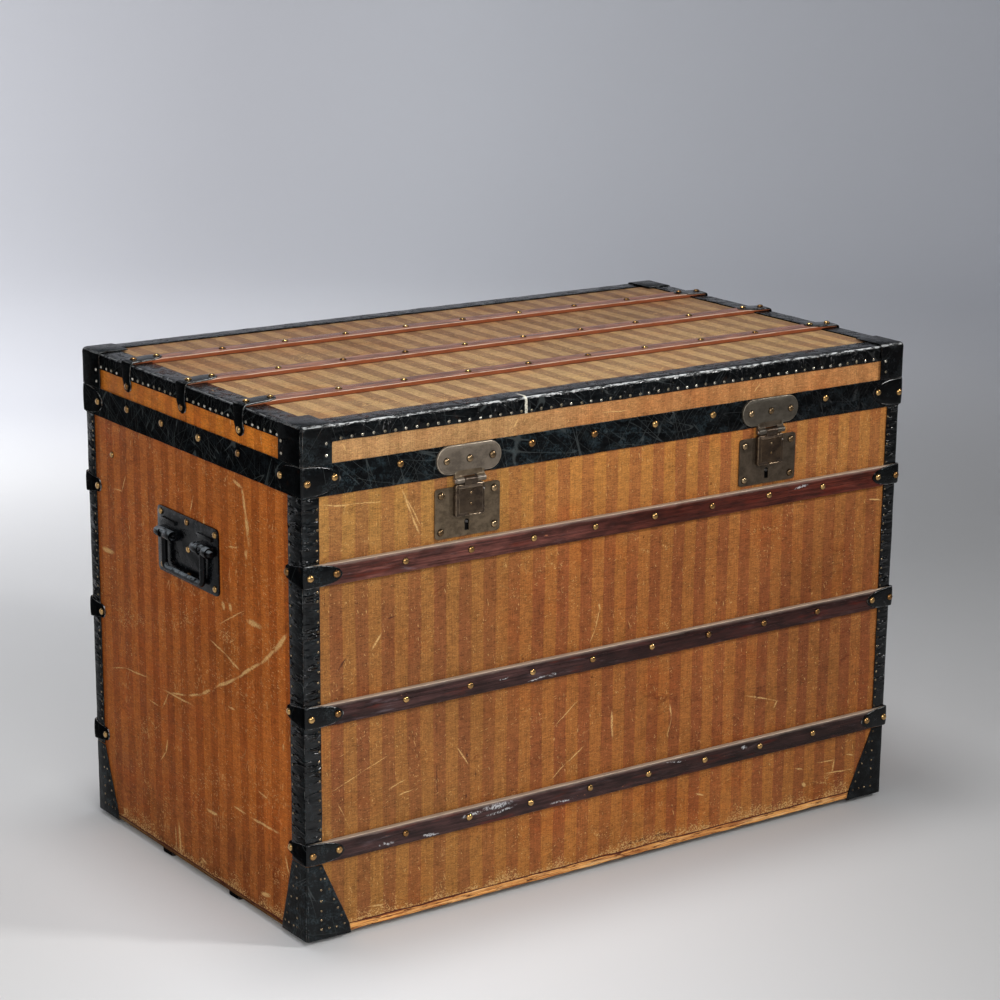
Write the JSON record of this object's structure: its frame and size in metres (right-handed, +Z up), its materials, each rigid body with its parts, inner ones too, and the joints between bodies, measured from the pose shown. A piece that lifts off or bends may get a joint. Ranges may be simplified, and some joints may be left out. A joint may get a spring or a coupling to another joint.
{
  "type": "travel trunk",
  "caption": "Flat-topped travel trunk covered in striped canvas, with iron trim, wooden slats, hasp locks, drop end handles and a hinged lid on folding stays.",
  "frame": {"origin": "on the floor under the middle of the trunk, at the centre of its footprint", "axes": "+X along the front to the right, the longest side; +Y from front to back; +Z up"},
  "size_m": [1.0294, 0.6123, 0.696],
  "materials": {
    "canvas_board": "board covered in worn striped woven canvas",
    "inner_board": "plain wooden board",
    "slat_wood": "dark stained and varnished, worn at its edges",
    "runner_wood": "scuffed stained wood",
    "black_iron": "black lacquered iron with scuffs",
    "dark_iron": "dark wrought iron",
    "bronze": "dark brown patina",
    "bright_brass": "aged brass"
  },
  "bodies": {
    "case": {"bottom_board": "inner_board", "front_board": "canvas_board", "back_board": "canvas_board", "left_board": "canvas_board", "right_board": "canvas_board", "corner_strip_front_left": "black_iron", "corner_strip_front_right": "black_iron", "corner_strip_back_left": "black_iron", "corner_strip_back_right": "black_iron", "front_slat_upper": "slat_wood", "front_slat_middle": "slat_wood", "front_slat_lower": "slat_wood", "back_slat_upper": "slat_wood", "back_slat_middle": "slat_wood", "back_slat_lower": "slat_wood", "bottom_cap_front_left": "black_iron", "bottom_cap_front_right": "black_iron", "bottom_cap_back_left": "black_iron", "bottom_cap_back_right": "black_iron", "bottom_runner_front": "runner_wood", "bottom_runner_rear": "runner_wood", "lock_plate_left": "bronze", "lock_plate_right": "bronze", "lock_case_left": "bronze", "lock_case_right": "bronze", "handle_plate_left": "black_iron", "handle_plate_right": "black_iron", "case_hinge_leaf_left": "dark_iron", "case_hinge_leaf_right": "dark_iron", "hinge_pin_left": "dark_iron", "hinge_pin_right": "dark_iron"},
    "lid": {"lid_top_board": "canvas_board", "lid_front_board": "canvas_board", "lid_back_board": "canvas_board", "lid_left_board": "canvas_board", "lid_right_board": "canvas_board", "lid_slat_front": "slat_wood", "lid_slat_middle": "slat_wood", "lid_slat_rear": "slat_wood", "lid_band": "black_iron", "lid_edging": "black_iron", "lid_cap_front_left": "black_iron", "lid_cap_front_right": "black_iron", "lid_cap_back_left": "black_iron", "lid_cap_back_right": "black_iron", "hasp_plate_left": "bronze", "hasp_plate_right": "bronze", "lid_hinge_leaf_left": "dark_iron", "lid_hinge_leaf_right": "dark_iron"},
    "hasp_left": {"hasp_left": "bronze"},
    "hasp_right": {"hasp_right": "bronze"},
    "lock_bolt_left": {"lock_bolt_left": "bright_brass"},
    "lock_bolt_right": {"lock_bolt_right": "bright_brass"},
    "handle_left": {"handle_bail_left": "black_iron"},
    "handle_right": {"handle_bail_right": "black_iron"},
    "stay_lower_left": {"stay_lower_left": "bright_brass"},
    "stay_lower_right": {"stay_lower_right": "bright_brass"},
    "stay_upper_left": {"stay_upper_left": "bright_brass"},
    "stay_upper_right": {"stay_upper_right": "bright_brass"}
  },
  "joints": [
    {"name": "lid_hinge", "type": "hinge", "parent": "case", "child": "lid", "pos_m": [0, 0.302, 0.6007], "axis": [-1, 0, 0], "range_deg": [0, 100]},
    {"name": "hasp_left_hinge", "type": "hinge", "parent": "lid", "child": "hasp_left", "pos_m": [-0.2525, -0.3012, 0.5948], "axis": [-1, 0, 0], "range_deg": [0, 120]},
    {"name": "hasp_right_hinge", "type": "hinge", "parent": "lid", "child": "hasp_right", "pos_m": [0.2525, -0.3012, 0.5948], "axis": [-1, 0, 0], "range_deg": [0, 120]},
    {"name": "lock_bolt_left_slide", "type": "slide", "parent": "case", "child": "lock_bolt_left", "axis": [1, 0, 0], "range_m": [0, 0.008]},
    {"name": "lock_bolt_right_slide", "type": "slide", "parent": "case", "child": "lock_bolt_right", "axis": [1, 0, 0], "range_m": [0, 0.008]},
    {"name": "handle_left_hinge", "type": "hinge", "parent": "case", "child": "handle_left", "pos_m": [-0.5075, 0.002, 0.479], "axis": [0, 1, 0], "range_deg": [0, 90]},
    {"name": "handle_right_hinge", "type": "hinge", "parent": "case", "child": "handle_right", "pos_m": [0.5075, 0.002, 0.479], "axis": [0, -1, 0], "range_deg": [0, 90]},
    {"name": "stay_lower_left_pivot", "type": "hinge", "parent": "case", "child": "stay_lower_left", "pos_m": [-0.4862, 0.178, 0.4507], "axis": [-1, 0, 0], "range_deg": [0, 100]},
    {"name": "stay_lower_right_pivot", "type": "hinge", "parent": "case", "child": "stay_lower_right", "pos_m": [0.4862, 0.178, 0.4507], "axis": [-1, 0, 0], "range_deg": [0, 100]},
    {"name": "stay_upper_left_pivot", "type": "hinge", "parent": "lid", "child": "stay_upper_left", "pos_m": [-0.4835, 0.132, 0.6527], "axis": [1, 0, 0], "range_deg": [0, 100]},
    {"name": "stay_upper_right_pivot", "type": "hinge", "parent": "lid", "child": "stay_upper_right", "pos_m": [0.4835, 0.132, 0.6527], "axis": [1, 0, 0], "range_deg": [0, 100]}
  ],
  "couplings": [
    {"joint": "stay_lower_left_pivot", "follows": "lid_hinge", "ratio": 1},
    {"joint": "stay_lower_right_pivot", "follows": "lid_hinge", "ratio": 1},
    {"joint": "stay_upper_left_pivot", "follows": "lid_hinge", "ratio": 1},
    {"joint": "stay_upper_right_pivot", "follows": "lid_hinge", "ratio": 1}
  ]
}
